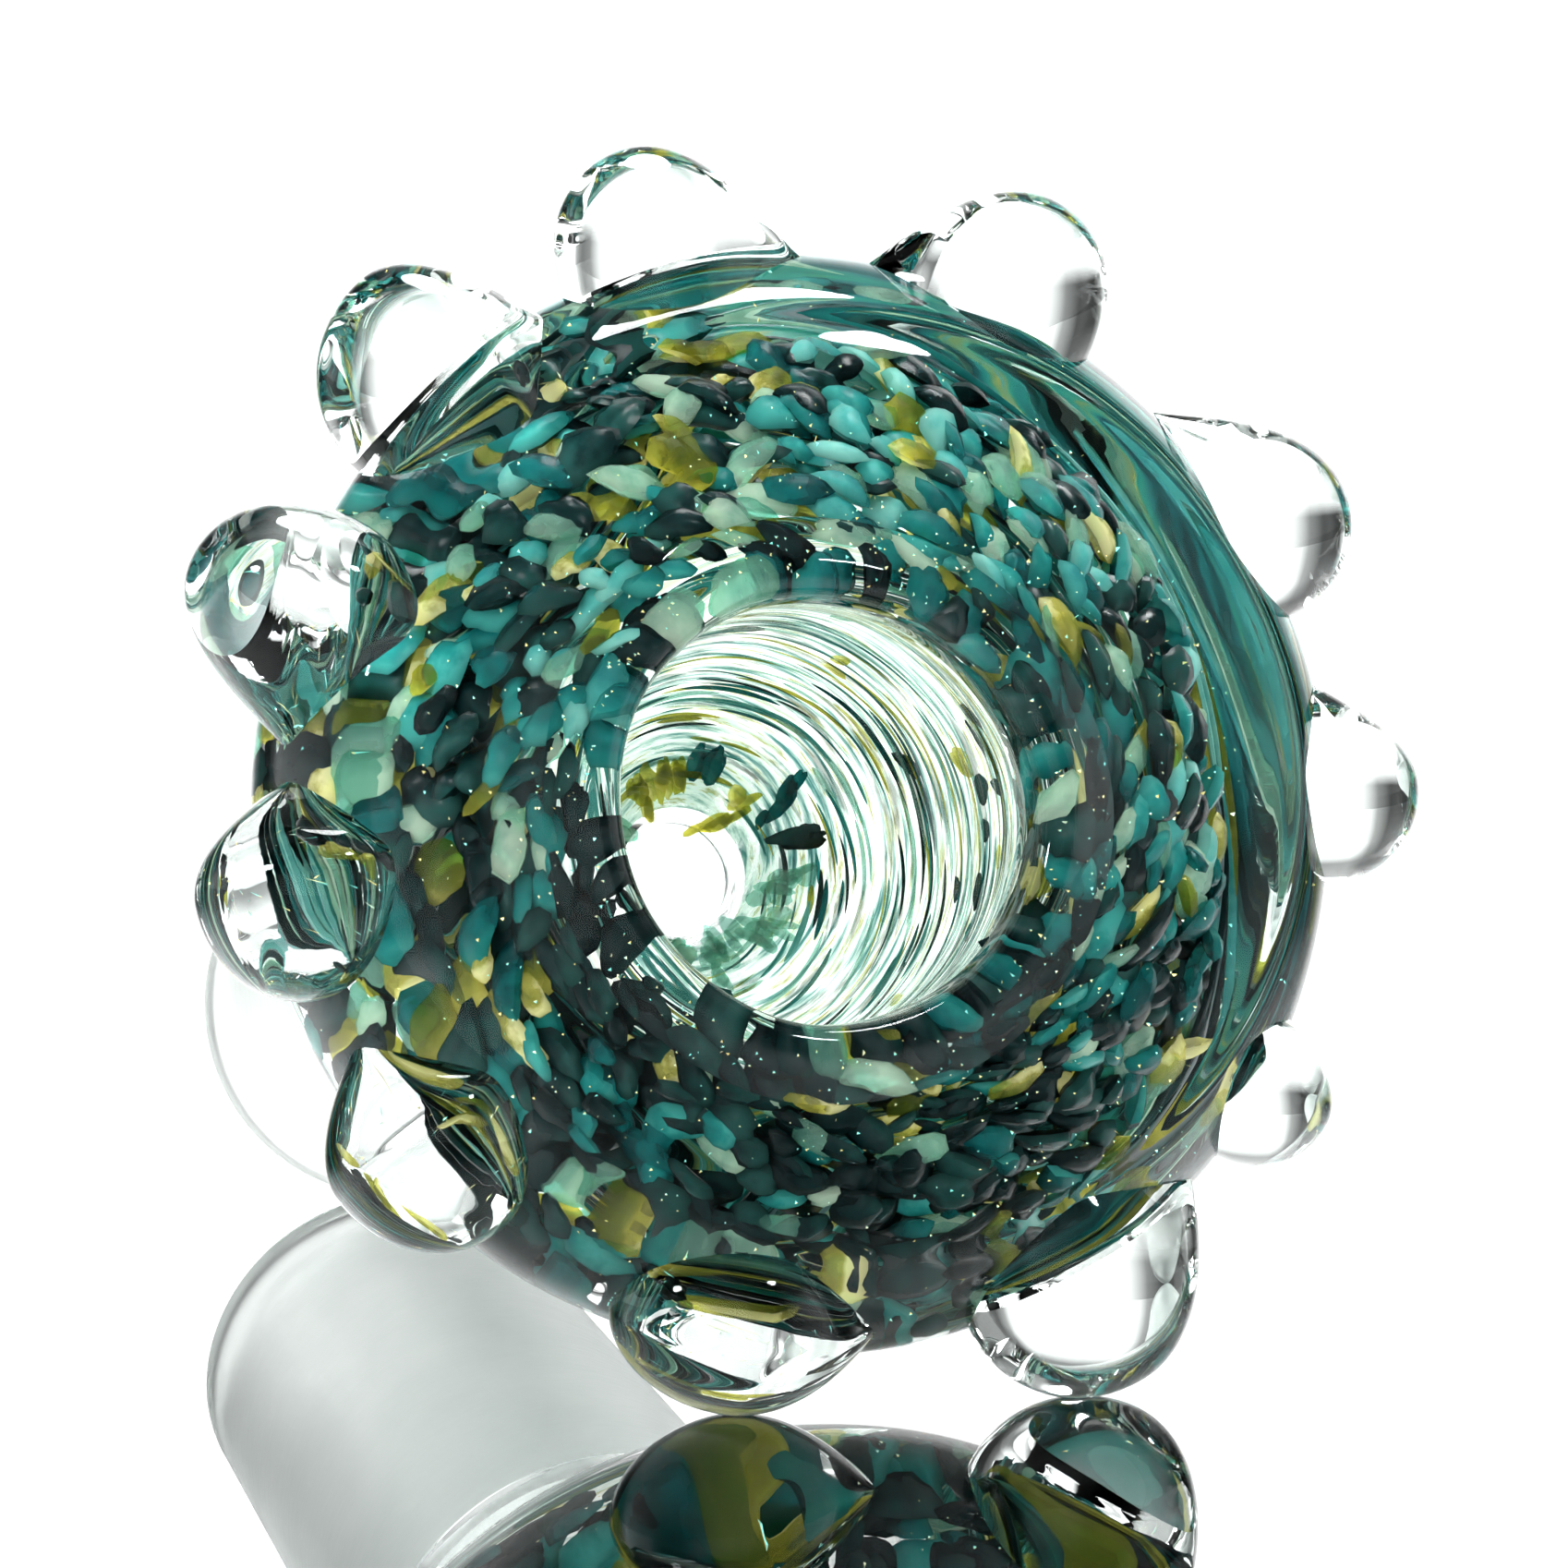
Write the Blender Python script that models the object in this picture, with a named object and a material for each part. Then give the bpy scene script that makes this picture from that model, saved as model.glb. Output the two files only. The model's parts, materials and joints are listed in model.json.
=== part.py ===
"""Glass bowl with a ground taper joint, lying on two of its knobs and the end of its joint.

Metres, +Z up. Every solid is built upright about the bowl's own axis, mouth up, with the knob
ring's plane at height 0. The whole bowl then hangs on one empty, which tips it over until it
rests on the floor at z = 0, with its mouth towards -Y.
"""

import math

import bmesh
import bpy
import numpy as np
from mathutils import Matrix, Vector

MM = 0.001
SEGMENTS = 36
GAP = 0.3 * MM

# Ground joint, 14.5/23: 14.5 mm across its large end, 23 mm long, taper 1 in 10.
JOINT_LARGE_R = 7.25 * MM
JOINT_LENGTH = 23.0 * MM
JOINT_TIP_R = JOINT_LARGE_R - JOINT_LENGTH / 20
JOINT_BORE_R = 4.9 * MM
JOINT_TIP_BORE_R = 4.6 * MM
JOINT_CHAMFER = 0.25 * MM

# Heights along the bowl's axis.
LIP_SEAT_Z = 2.05 * MM
BODY_BACK_Z = -17.0 * MM
NECK_LENGTH = 2.6 * MM
JOINT_TOP_Z = BODY_BACK_Z - NECK_LENGTH - 2 * GAP

# Radii about the bowl's axis.
LIP_OUTER_R = 9.05 * MM
BORE_R = 6.6 * MM
STEM_BORE_R = 3.6 * MM
SHOULDER_R = 7.7 * MM
FRIT_THICKNESS = 0.8 * MM
CUTTER_R = 4.0 * MM

# Outlines as (radius, height) in millimetres, each run from the mouth towards the neck.
BODY_OUTSIDE = [
    (9.4, 2.9), (12.2, 3.5), (15.6, 2.3), (17.2, -0.7),
    (16.5, -4.9), (13.5, -10.3), (9.0, -15.2), (7.2, -17.0),
]
FRIT_MIDDLE = [(8.8, 1.7), (12.8, -2.1), (13.5, -5.6), (9.3, -12.4), (5.6, -17.0)]
BOWL_WALL = [(6.6, 2.05), (6.9, -2.5), (5.3, -8.8), (1.8, -11.3)]
HOLE_WALL = [(1.8, -12.7), (3.6, -15.6), (3.6, -17.0)]
LIP_ARCH = [(9.05, 2.75), (8.4, 3.45), (7.5, 3.7), (6.8, 3.55), (6.6, 2.9)]
NECK_R = (7.1 * MM, 6.6 * MM, 7.0 * MM)

# The rim and its knobs sit a little off the bowl's axis, as hand-worked glass does: a point
# keeps to the axis inside the first radius and takes the whole shift from the second one on.
RIM_SHIFT = Vector((0.45, 0.85, 0)) * MM
SHIFT_FROM_R = 9.0 * MM
SHIFT_FULL_R = 15.0 * MM

# Knob: place of its highest point round the rim in degrees from straight down towards +X,
# reach from the rim's centre, length of its round end, length of its tail, half width along
# the axis, how sharply the tail thins, and 1 where the tail runs towards larger angles.
KNOBS = [
    (193.6, 20.9, 3.3, 5.4, 2.6, 1.4, -1),
    (220.2, 21.2, 4.2, 4.1, 3.2, 1.2, -1),
    (249.5, 20.9, 3.1, 5.3, 3.6, 1.5, 1),
    (279.2, 20.1, 3.7, 3.6, 3.5, 1.0, -1),
    (308.6, 20.0, 3.9, 4.0, 3.5, 1.2, -1),
    (348.7, 19.5, 4.2, 4.9, 3.5, 1.0, 1),
    (388.3, 20.8, 4.1, 5.3, 3.1, 1.1, 1),
    (417.0, 19.4, 2.6, 2.7, 2.7, 1.0, 1),
    (450.2, 20.0, 3.0, 4.1, 2.8, 1.3, 1),
    (478.9, 20.5, 3.1, 5.8, 2.8, 1.5, 1),
    (514.4, 20.8, 3.1, 5.4, 2.9, 1.3, 1),
]
KNOB_CENTRE_R = 16.6 * MM
KNOB_LENGTHS_R = 17.6 * MM
KNOB_RINGS = 8
KNOB_SIDES = 14
RESTING_KNOBS = ("knob_06", "knob_07")


def clear_scene():
    for thing in list(bpy.data.objects):
        bpy.data.objects.remove(thing, do_unlink=True)


def material(name, colour, roughness, transmission):
    made = bpy.data.materials.new(name)
    made.use_nodes = True
    shader = made.node_tree.nodes["Principled BSDF"]
    shader.inputs["Base Color"].default_value = (*colour, 1.0)
    shader.inputs["Metallic"].default_value = 0.0
    shader.inputs["Roughness"].default_value = roughness
    shader.inputs["IOR"].default_value = 1.47
    shader.inputs["Transmission Weight"].default_value = transmission
    return made


def clear_glass(name):
    return material(name + "_glass", (0.93, 0.97, 0.96), 0.02, 0.9)


def frosted_glass(name):
    return material(name + "_frosted", (0.82, 0.84, 0.84), 0.55, 0.5)


def frit_glass(name):
    return material(name + "_frit", (0.03, 0.22, 0.23), 0.15, 0.1)


def millimetres(points):
    return [Vector((r * MM, z * MM)) for r, z in points]


def smooth(points, steps):
    """A Catmull-Rom curve through the points, with so many steps between two of them."""
    ends = [2 * points[0] - points[1], *points, 2 * points[-1] - points[-2]]
    curve = []
    for before, start, end, after in zip(ends, ends[1:], ends[2:], ends[3:]):
        for step in range(steps):
            t = step / steps
            curve.append(
                0.5
                * (
                    2 * start
                    + (end - before) * t
                    + (2 * before - 5 * start + 4 * end - after) * t**2
                    + (3 * start - before - 3 * end + after) * t**3
                )
            )
    curve.append(points[-1])
    return curve


def offset(curve, distance):
    """The curve moved sideways, to its left as it runs."""
    moved = []
    for index, point in enumerate(curve):
        along = curve[min(index + 1, len(curve) - 1)] - curve[max(index - 1, 0)]
        moved.append(point + distance * Vector((-along.y, along.x)).normalized())
    return moved


def envelope():
    """The outside of the body, from beside the lip round to the neck."""
    return smooth(millimetres(BODY_OUTSIDE), 2)


def frit_curve():
    """The middle of the coloured layer, from under the lip round to the neck."""
    return smooth(millimetres(FRIT_MIDDLE), 3)


def bowl_curve():
    """The inside of the bowl, from under the lip down to the hole and out to the stem."""
    return smooth(millimetres(BOWL_WALL), 3) + millimetres(HOLE_WALL)


def rim_shift(radius):
    share = (radius - SHIFT_FROM_R) / (SHIFT_FULL_R - SHIFT_FROM_R)
    share = min(max(share, 0), 1)
    return RIM_SHIFT * share**2 * (3 - 2 * share)


def turned(name, outline, finish):
    """A closed outline of radius and height, turned once round the axis."""
    mesh = bpy.data.meshes.new(name)
    build = bmesh.new()
    corners = [build.verts.new((point.x, 0, point.y)) for point in outline]
    edges = [build.edges.new(pair) for pair in zip(corners, corners[1:] + corners[:1])]
    bmesh.ops.spin(
        build,
        geom=corners + edges,
        cent=(0, 0, 0),
        axis=(0, 0, 1),
        angle=math.tau,
        steps=SEGMENTS,
        use_merge=True,
    )
    bmesh.ops.remove_doubles(build, verts=build.verts, dist=1e-6)
    for vert in build.verts:
        vert.co += rim_shift(vert.co.xy.length)
    bmesh.ops.recalc_face_normals(build, faces=build.faces)
    build.to_mesh(mesh)
    build.free()
    mesh.shade_smooth()
    mesh.set_sharp_from_angle(angle=math.radians(35))
    made = bpy.data.objects.new(name, mesh)
    bpy.context.scene.collection.objects.link(made)
    made.data.materials.append(finish)
    return made


def make_casing():
    inner = offset(frit_curve(), FRIT_THICKNESS / 2 + GAP)
    inner[-1].y = BODY_BACK_Z
    return turned("clear_casing", envelope() + inner[::-1], clear_glass("clear_casing"))


def make_frit_layer():
    outer = offset(frit_curve(), FRIT_THICKNESS / 2)
    inner = offset(frit_curve(), -FRIT_THICKNESS / 2)
    outer[-1].y = BODY_BACK_Z
    inner[-1].y = BODY_BACK_Z
    return turned("frit_layer", outer + inner[::-1], frit_glass("frit_layer"))


def make_core():
    outer = offset(frit_curve(), -FRIT_THICKNESS / 2 - GAP)
    outer[-1].y = BODY_BACK_Z
    shoulder = Vector((SHOULDER_R, LIP_SEAT_Z))
    outline = [shoulder] + outer + bowl_curve()[::-1]
    return turned("inner_core", outline, clear_glass("inner_core"))


def make_lip():
    seat = LIP_SEAT_Z + GAP
    outline = smooth(millimetres(LIP_ARCH), 2)
    outline += [Vector((BORE_R, seat)), Vector((LIP_OUTER_R, seat))]
    return turned("lip_ring", outline, clear_glass("lip_ring"))


def make_neck():
    top = BODY_BACK_Z - GAP
    bottom = top - NECK_LENGTH
    heights = (top, (top + bottom) / 2, bottom)
    outline = smooth([Vector(corner) for corner in zip(NECK_R, heights)], 3)
    outline += [Vector((STEM_BORE_R, bottom)), Vector((STEM_BORE_R, top))]
    return turned("neck", outline, clear_glass("neck"))


def make_joint():
    tip = JOINT_TOP_Z - JOINT_LENGTH
    outline = [
        Vector((JOINT_LARGE_R - JOINT_CHAMFER, JOINT_TOP_Z)),
        Vector((JOINT_LARGE_R, JOINT_TOP_Z - JOINT_CHAMFER)),
        Vector((JOINT_TIP_R, tip + JOINT_CHAMFER)),
        Vector((JOINT_TIP_R - JOINT_CHAMFER, tip)),
        Vector((JOINT_TIP_BORE_R, tip)),
        Vector((JOINT_BORE_R, JOINT_TOP_Z - 2 * MM)),
        Vector((STEM_BORE_R, JOINT_TOP_Z)),
    ]
    return turned("ground_joint", outline, frosted_glass("ground_joint"))


def make_body_cutter():
    """The body's outside with the gap added: it shapes the foot of each knob."""
    outer = offset(envelope(), GAP)
    inside = [Vector((CUTTER_R, outer[-1].y)), Vector((CUTTER_R, outer[0].y))]
    cutter = turned("body_cutter", outer + inside, clear_glass("body_cutter"))
    cutter.hide_render = True
    cutter.display_type = "WIRE"
    return cutter


def drawn_out(point, place, reach, dome, tail, width, power, side):
    """Where a point of a ball of radius 1 goes on a knob: half of it a dome, half a tail."""
    along, across, up = point
    share = max(along * side, 0)
    thin = 1.0
    if 0 < share < 1:
        thin = math.cos(share * math.pi / 2) ** power / math.sqrt(1 - share**2)
    length = tail if share else dome
    angle = math.radians(place) + along * length * MM / KNOB_LENGTHS_R
    radius = KNOB_CENTRE_R + up * thin * (reach * MM - KNOB_CENTRE_R)
    flat = Vector((math.sin(angle), -math.cos(angle), 0)) * radius
    return RIM_SHIFT + flat + Vector((0, 0, across * thin * width * MM))


def make_knob(name, shape, cutter):
    """A drop of clear glass, drawn out towards one side, that fits the body behind it."""
    mesh = bpy.data.meshes.new(name)
    build = bmesh.new()
    bmesh.ops.create_uvsphere(build, u_segments=KNOB_SIDES, v_segments=KNOB_RINGS, radius=1)
    for vert in build.verts:
        vert.co = drawn_out(vert.co, *shape)
    bmesh.ops.recalc_face_normals(build, faces=build.faces)
    build.to_mesh(mesh)
    build.free()
    mesh.shade_smooth()
    made = bpy.data.objects.new(name, mesh)
    bpy.context.scene.collection.objects.link(made)
    made.data.materials.append(clear_glass(name))
    cut = made.modifiers.new("fit_to_body", "BOOLEAN")
    cut.operation = "DIFFERENCE"
    cut.solver = "EXACT"
    cut.object = cutter
    return made


def world_points(made):
    graph = bpy.context.evaluated_depsgraph_get()
    evaluated = made.evaluated_get(graph)
    points = np.array([vert.co[:] for vert in evaluated.data.vertices])
    turn = np.array(evaluated.matrix_world)
    return points @ turn[:3, :3].T + turn[:3, 3]


def halve(low, high, rises):
    """The value between low and high at which rises(value) changes sign."""
    for _ in range(32):
        middle = (low + high) / 2
        low, high = (low, middle) if rises(middle) > 0 else (middle, high)
    return (low + high) / 2


def settle(axis, pieces):
    """Rolls and tips the bowl until two knobs and the joint's end touch the floor."""
    left, right = (world_points(pieces[name]) for name in RESTING_KNOBS)
    joint = world_points(pieces["ground_joint"])

    def pose(roll, tilt):
        return Matrix.Rotation(math.pi / 2 - tilt, 4, "X") @ Matrix.Rotation(roll, 4, "Z")

    def lowest(points, roll, tilt):
        return (points @ np.array(pose(roll, tilt))[:3, :3].T)[:, 2].min()

    def level_roll(tilt):
        return halve(-0.3, 0.3, lambda roll: lowest(right, roll, tilt) - lowest(left, roll, tilt))

    def joint_above_knobs(tilt):
        roll = level_roll(tilt)
        return lowest(left, roll, tilt) - lowest(joint, roll, tilt)

    tilt = halve(0.1, 0.6, joint_above_knobs)
    axis.matrix_world = pose(level_roll(tilt), tilt)
    bpy.context.view_layer.update()
    everything = np.concatenate([world_points(made) for made in pieces.values()])
    low, high = everything.min(axis=0), everything.max(axis=0)
    axis.location = (-(low[0] + high[0]) / 2, -(low[1] + high[1]) / 2, -low[2])


def main():
    clear_scene()
    axis = bpy.data.objects.new("bowl_axis", None)
    bpy.context.scene.collection.objects.link(axis)
    cutter = make_body_cutter()
    made = [make_casing(), make_frit_layer(), make_core(), make_lip(), make_neck(), make_joint()]
    for number, shape in enumerate(KNOBS, 1):
        made.append(make_knob(f"knob_{number:02d}", shape, cutter))
    for thing in [cutter, *made]:
        thing.parent = axis
    bpy.context.view_layer.update()
    settle(axis, {thing.name: thing for thing in made})


main()
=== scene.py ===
"""The looks of the glass bowl: clear fused glass, coloured chips inside it, a frosted joint.

Everything is modelled upright about the bowl's own axis, in millimetres, with the ring of knobs
at height 0 and the mouth up, and is then placed in the frame. The clear pieces are fused on the
real bowl, so each one is a closed solid with two kinds of face: skin, which meets the air and
bends light, and seam, which meets its neighbour and shows nothing.
"""

import json
import math

import bpy
import numpy as np
from mathutils import Matrix, Vector


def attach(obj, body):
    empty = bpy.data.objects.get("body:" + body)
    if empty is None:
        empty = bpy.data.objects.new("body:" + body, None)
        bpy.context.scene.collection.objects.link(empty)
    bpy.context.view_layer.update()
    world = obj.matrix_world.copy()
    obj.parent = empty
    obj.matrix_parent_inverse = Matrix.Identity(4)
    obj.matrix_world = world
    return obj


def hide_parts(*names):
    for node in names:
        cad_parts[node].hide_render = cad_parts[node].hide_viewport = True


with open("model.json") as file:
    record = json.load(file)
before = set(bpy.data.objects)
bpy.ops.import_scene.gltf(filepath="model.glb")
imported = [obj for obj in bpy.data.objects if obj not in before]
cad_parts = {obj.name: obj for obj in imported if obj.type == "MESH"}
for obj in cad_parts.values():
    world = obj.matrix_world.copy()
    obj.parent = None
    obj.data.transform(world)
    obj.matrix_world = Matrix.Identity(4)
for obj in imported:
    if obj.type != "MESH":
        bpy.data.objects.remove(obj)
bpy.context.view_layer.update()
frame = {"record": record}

MM = 0.001
SKIN, SEAM = 0, 1
DRAWS = np.random.default_rng(7)

# The bowl's axis runs through the middle of the joint's flat end, along that mount's axis.
JOINT_END = {mount["name"]: mount for mount in frame["record"]["mounts"]}["joint_end"]
JOINT_END_R = 5.25
JOINT_TIP_Z = -43.2
ROLL = math.radians(-2.368)

# Heights, and places as (radius, height), about the axis in millimetres.
BODY_BACK_Z = -17.15
NECK_BACK_Z = -20.05
LIP_SEAT_Z = 2.2
LIP_ROOT = (9.2, 2.95)
FRIT_TOP = (8.8, 1.7)
FRIT_END = (5.6, BODY_BACK_Z)
MOUTH_EDGE = (6.6, LIP_SEAT_Z)
PASSAGE_FRONT = (3.6, BODY_BACK_Z)
PASSAGE_BACK = (3.6, NECK_BACK_Z)
NECK_FRONT = (7.2, BODY_BACK_Z)
NECK_BACK = (6.9, NECK_BACK_Z)
TAPER_TOP = (7.25, -20.5)
TAPER_END = (6.12, -42.9)
JOINT_BORE_END = (4.6, -42.8)
JOINT_BORE_TOP = (4.9, -22.4)
SEGMENTS = 176

# The rim is this far off the axis in x and y: nothing inside the first radius moves, and all of
# it moves beyond the second.
RIM_SHIFT = (0.45, 0.85)
SHIFT_FROM_R = 9.0
SHIFT_FULL_R = 15.0

# Knob: place of its highest point in degrees, reach, length of its round end, length of its tail,
# half width, how sharply the tail thins, and the side that the tail is on.
KNOBS = [
    (193.6, 20.9, 3.3, 5.4, 2.6, 1.4, -1),
    (220.2, 21.2, 4.2, 4.1, 3.2, 1.2, -1),
    (249.5, 20.9, 3.1, 5.3, 3.6, 1.5, 1),
    (279.2, 20.1, 3.7, 3.6, 3.5, 1.0, -1),
    (308.6, 20.0, 3.9, 4.0, 3.5, 1.2, -1),
    (348.7, 19.5, 4.2, 4.9, 3.5, 1.0, 1),
    (388.3, 20.8, 4.1, 5.3, 3.1, 1.1, 1),
    (417.0, 19.4, 2.6, 2.7, 2.7, 1.0, 1),
    (450.2, 20.0, 3.0, 4.1, 2.8, 1.3, 1),
    (478.9, 20.5, 3.1, 5.8, 2.8, 1.5, 1),
    (514.4, 20.8, 3.1, 5.4, 2.9, 1.3, 1),
]
KNOB_CENTRE_R = 16.6
DROP_SIDES = 44
DROP_RINGS = 20


# ---- shapes


def unit(vector):
    return vector / np.linalg.norm(vector)


def bowl_matrix():
    """From the bowl's upright millimetres to its place in the frame."""
    axis = -Vector(JOINT_END["axis"])
    centre = Vector(JOINT_END["pos_m"]) - Vector((JOINT_END_R * MM, 0, 0))
    centre -= axis * JOINT_TIP_Z * MM
    tilt = math.asin(axis.z)
    turn = Matrix.Rotation(math.pi / 2 - tilt, 4, "X") @ Matrix.Rotation(ROLL, 4, "Z")
    return Matrix.Translation(centre) @ turn @ Matrix.Scale(MM, 4)


BOWL = bowl_matrix()


def smooth(points, steps):
    """A Catmull-Rom curve through the points, with so many steps between two of them."""
    points = [np.array(point, float) for point in points]
    ends = [2 * points[0] - points[1], *points, 2 * points[-1] - points[-2]]
    curve = []
    for before, start, end, after in zip(ends, ends[1:], ends[2:], ends[3:]):
        for t in np.arange(steps) / steps:
            bend = (2 * before - 5 * start + 4 * end - after) * t**2
            bend += (3 * start - before - 3 * end + after) * t**3
            curve.append(start + 0.5 * ((end - before) * t + bend))
    return curve + [points[-1]]


def straight(start, end, steps):
    """Points from start towards end, without end itself."""
    start, end = np.array(start, float), np.array(end, float)
    return [start + (end - start) * t for t in np.arange(steps) / steps]


def envelope():
    """The clear body's outside, from the lip round the rim and back to the neck."""
    shape = [LIP_ROOT, (10.4, 3.2), (12.2, 3.45), (14.2, 3.1), (15.7, 2.2), (17.2, -0.7)]
    shape += [(16.5, -4.9), (13.5, -10.3), (9.0, -15.2), NECK_FRONT]
    return smooth(shape, 9)


def frit_curve():
    """Where the clear casing meets the core, with the chips on both sides of it."""
    return smooth([FRIT_TOP, (12.8, -2.1), (13.5, -5.6), (9.3, -12.4), FRIT_END], 12)


def bowl_curve():
    """The cavity's wall from under the lip down to the drain hole, then the passage behind it."""
    cup = [MOUTH_EDGE, (6.85, 0.0), (6.9, -2.5), (6.5, -6.0), (5.3, -8.8), (3.7, -10.6)]
    drain = [(2.0, -11.5), (1.8, -12.0), (2.0, -12.8), (3.3, -15.0), PASSAGE_FRONT]
    return smooth(cup, 22) + smooth(drain, 6)


def ripple(points):
    """Fine rings that the maker's tool left round the cavity, a little uneven on the way round."""
    x, y, z = points.T
    around = np.arctan2(y, x)
    radius = np.hypot(x, y)
    inside = np.clip((7.4 - radius) / 0.4, 0, 1) * np.clip((z + 11.2) / 2, 0, 1)
    inside *= np.clip((0.9 - z) / 1.6, 0, 1)
    drift = 0.35 * np.sin(around + 0.6) + 0.16 * np.sin(3 * around + 2.0)
    drift += 0.05 * np.sin(7 * around)
    wave = np.sin(5.6 * (z + drift)) + 0.7 * np.sin(9.1 * (z + 1.3 * drift) + 1.1)
    wave += 0.5 * np.sin(14.3 * (z - 0.6 * drift) + 0.4)
    return 0.006 * inside * wave


def hand_worked(points):
    """Moves points of the body a little, as the unevenness of hand-worked glass."""
    points = np.array(points, float)
    x, y, z = points.T
    radius = np.hypot(x, y)
    around = np.arctan2(y, x)
    share = np.clip((radius - SHIFT_FROM_R) / (SHIFT_FULL_R - SHIFT_FROM_R), 0, 1)
    share = share**2 * (3 - 2 * share)
    loose = np.clip((z - NECK_BACK_Z) / 5, 0, 1) * np.clip(radius / 8, 0, 1)
    wave = 0.07 * np.sin(2 * around + 0.23 * z + 0.8) + 0.05 * np.sin(3 * around - 0.35 * z + 2.1)
    wave += 0.03 * np.sin(7 * around + 0.5 * z)
    radius_new = radius + wave * loose + ripple(points)
    grow = radius_new / np.maximum(radius, 1e-6)
    return np.column_stack([x * grow + RIM_SHIFT[0] * share, y * grow + RIM_SHIFT[1] * share, z])


def add_object(name, data):
    """A new object in the scene."""
    made = bpy.data.objects.new(name, data)
    bpy.context.scene.collection.objects.link(made)
    return made


def new_object(name, points, faces, kinds, materials, place=True):
    """A mesh object from points in the bowl's millimetres, placed in the frame."""
    mesh = bpy.data.meshes.new(name)
    mesh.from_pydata([tuple(p) for p in points], [], [tuple(f) for f in faces])
    mesh.polygons.foreach_set("material_index", np.array(kinds, np.int32))
    for material in materials:
        mesh.materials.append(material)
    mesh.shade_smooth()
    mesh.set_sharp_from_angle(angle=math.radians(40))
    if place:
        mesh.transform(BOWL)
    mesh.update()
    return add_object(name, mesh)


def revolve(outline):
    """(points, faces, strip of each face) of a closed outline of radius and height, turned once."""
    outline = np.array(outline, float)
    count = len(outline)
    around = np.arange(SEGMENTS) * math.tau / SEGMENTS
    points = np.column_stack([
        np.outer(np.cos(around), outline[:, 0]).ravel(),
        np.outer(np.sin(around), outline[:, 0]).ravel(),
        np.tile(outline[:, 1], SEGMENTS),
    ])
    faces, strips = [], []
    clockwise = np.cross(outline, np.roll(outline, -1, axis=0)).sum() < 0
    for turn in range(SEGMENTS):
        here, there = turn * count, (turn + 1) % SEGMENTS * count
        for step in range(count):
            after = (step + 1) % count
            face = [here + step, there + step, there + after, here + after]
            faces.append(face[::-1] if clockwise else face)
            strips.append(step)
    return points, faces, np.array(strips)


def turned(name, parts, materials):
    """parts is a list of (points, kind of face) that together make the closed outline."""
    outline = [point for points, _ in parts for point in points]
    kinds = [kind for points, kind in parts for _ in points]
    points, faces, strips = revolve(outline)
    return new_object(name, hand_worked(points), faces, np.array(kinds)[strips], materials)


# ---- knobs


def drop(place, reach, dome, tail, width, power, side):
    """A drop lying along the rim: a dome at one end that thins out to a tail at the other."""
    sides = DROP_SIDES
    angle = math.radians(place)
    height = reach - KNOB_CENTRE_R
    rise = np.linspace(0, math.pi / 2, DROP_RINGS)[1:]
    run = np.linspace(0, 1, DROP_RINGS + 5)[1:-1]
    girth = np.concatenate([np.sin(rise), np.cos(run * math.pi / 2) ** power])
    along = side * np.concatenate([-dome * np.cos(rise), tail * run])
    round_it = np.arange(sides) * math.tau / sides
    out = np.outer(girth, np.cos(round_it)) * height
    across = np.outer(girth**0.9, np.sin(round_it)) * width
    where = angle + np.outer(along / (KNOB_CENTRE_R + 1), np.ones(sides))
    radius = KNOB_CENTRE_R + out
    points = np.column_stack([
        (radius * np.sin(where)).ravel() + RIM_SHIFT[0],
        (-radius * np.cos(where)).ravel() + RIM_SHIFT[1],
        across.ravel(),
    ])
    tips = []
    for end in (-dome, tail):
        turn = angle + side * end / (KNOB_CENTRE_R + 1)
        tips.append((KNOB_CENTRE_R * math.sin(turn) + RIM_SHIFT[0],
                     -KNOB_CENTRE_R * math.cos(turn) + RIM_SHIFT[1], 0.0))
    points = np.vstack([points, tips])
    first, last = len(points) - 2, len(points) - 1
    count = len(girth)
    faces = []
    for step in range(sides):
        after = (step + 1) % sides
        faces.append([first, step, after])
        for ring in range(count - 1):
            here, there = ring * sides, (ring + 1) * sides
            faces.append([here + step, there + step, there + after, here + after])
        here = (count - 1) * sides
        faces.append([last, here + after, here + step])
    if volume(points, faces) < 0:
        faces = [face[::-1] for face in faces]
    return points, faces


def volume(points, faces):
    """The signed volume of a closed mesh, which is negative when it is inside out."""
    total = 0.0
    for face in faces:
        a = points[face[0]]
        for second, third in zip(face[1:], face[2:]):
            total += np.dot(a, np.cross(points[second], points[third]))
    return total / 6


def combined(first, second, operation):
    """(points, faces, kind of each face) of a Boolean of two closed meshes."""
    change = first.modifiers.new(operation, "BOOLEAN")
    change.operation = operation
    change.solver = "EXACT"
    change.object = second
    graph = bpy.context.evaluated_depsgraph_get()
    result = first.evaluated_get(graph).to_mesh()
    points = np.array([vert.co[:] for vert in result.vertices])
    faces = [list(face.vertices) for face in result.polygons]
    kinds = np.array([face.material_index for face in result.polygons])
    first.evaluated_get(graph).to_mesh_clear()
    first.modifiers.remove(change)
    return points, faces, kinds


def only_used(points, faces):
    """(points, faces) without the points that no face uses."""
    used = sorted({index for face in faces for index in face})
    new_index = {index: order for order, index in enumerate(used)}
    return points[used], [[new_index[index] for index in face] for face in faces]


def picked(points, faces, kinds, kind):
    """(points, faces) of one kind of face."""
    return only_used(points, [face for face, found in zip(faces, kinds) if found == kind])


def stacked(shapes):
    """(points, faces) of several such shapes as one."""
    start, faces = 0, []
    for points, shape_faces in shapes:
        faces += [[index + start for index in face] for face in shape_faces]
        start += len(points)
    return np.vstack([points for points, _ in shapes]), faces


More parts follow.
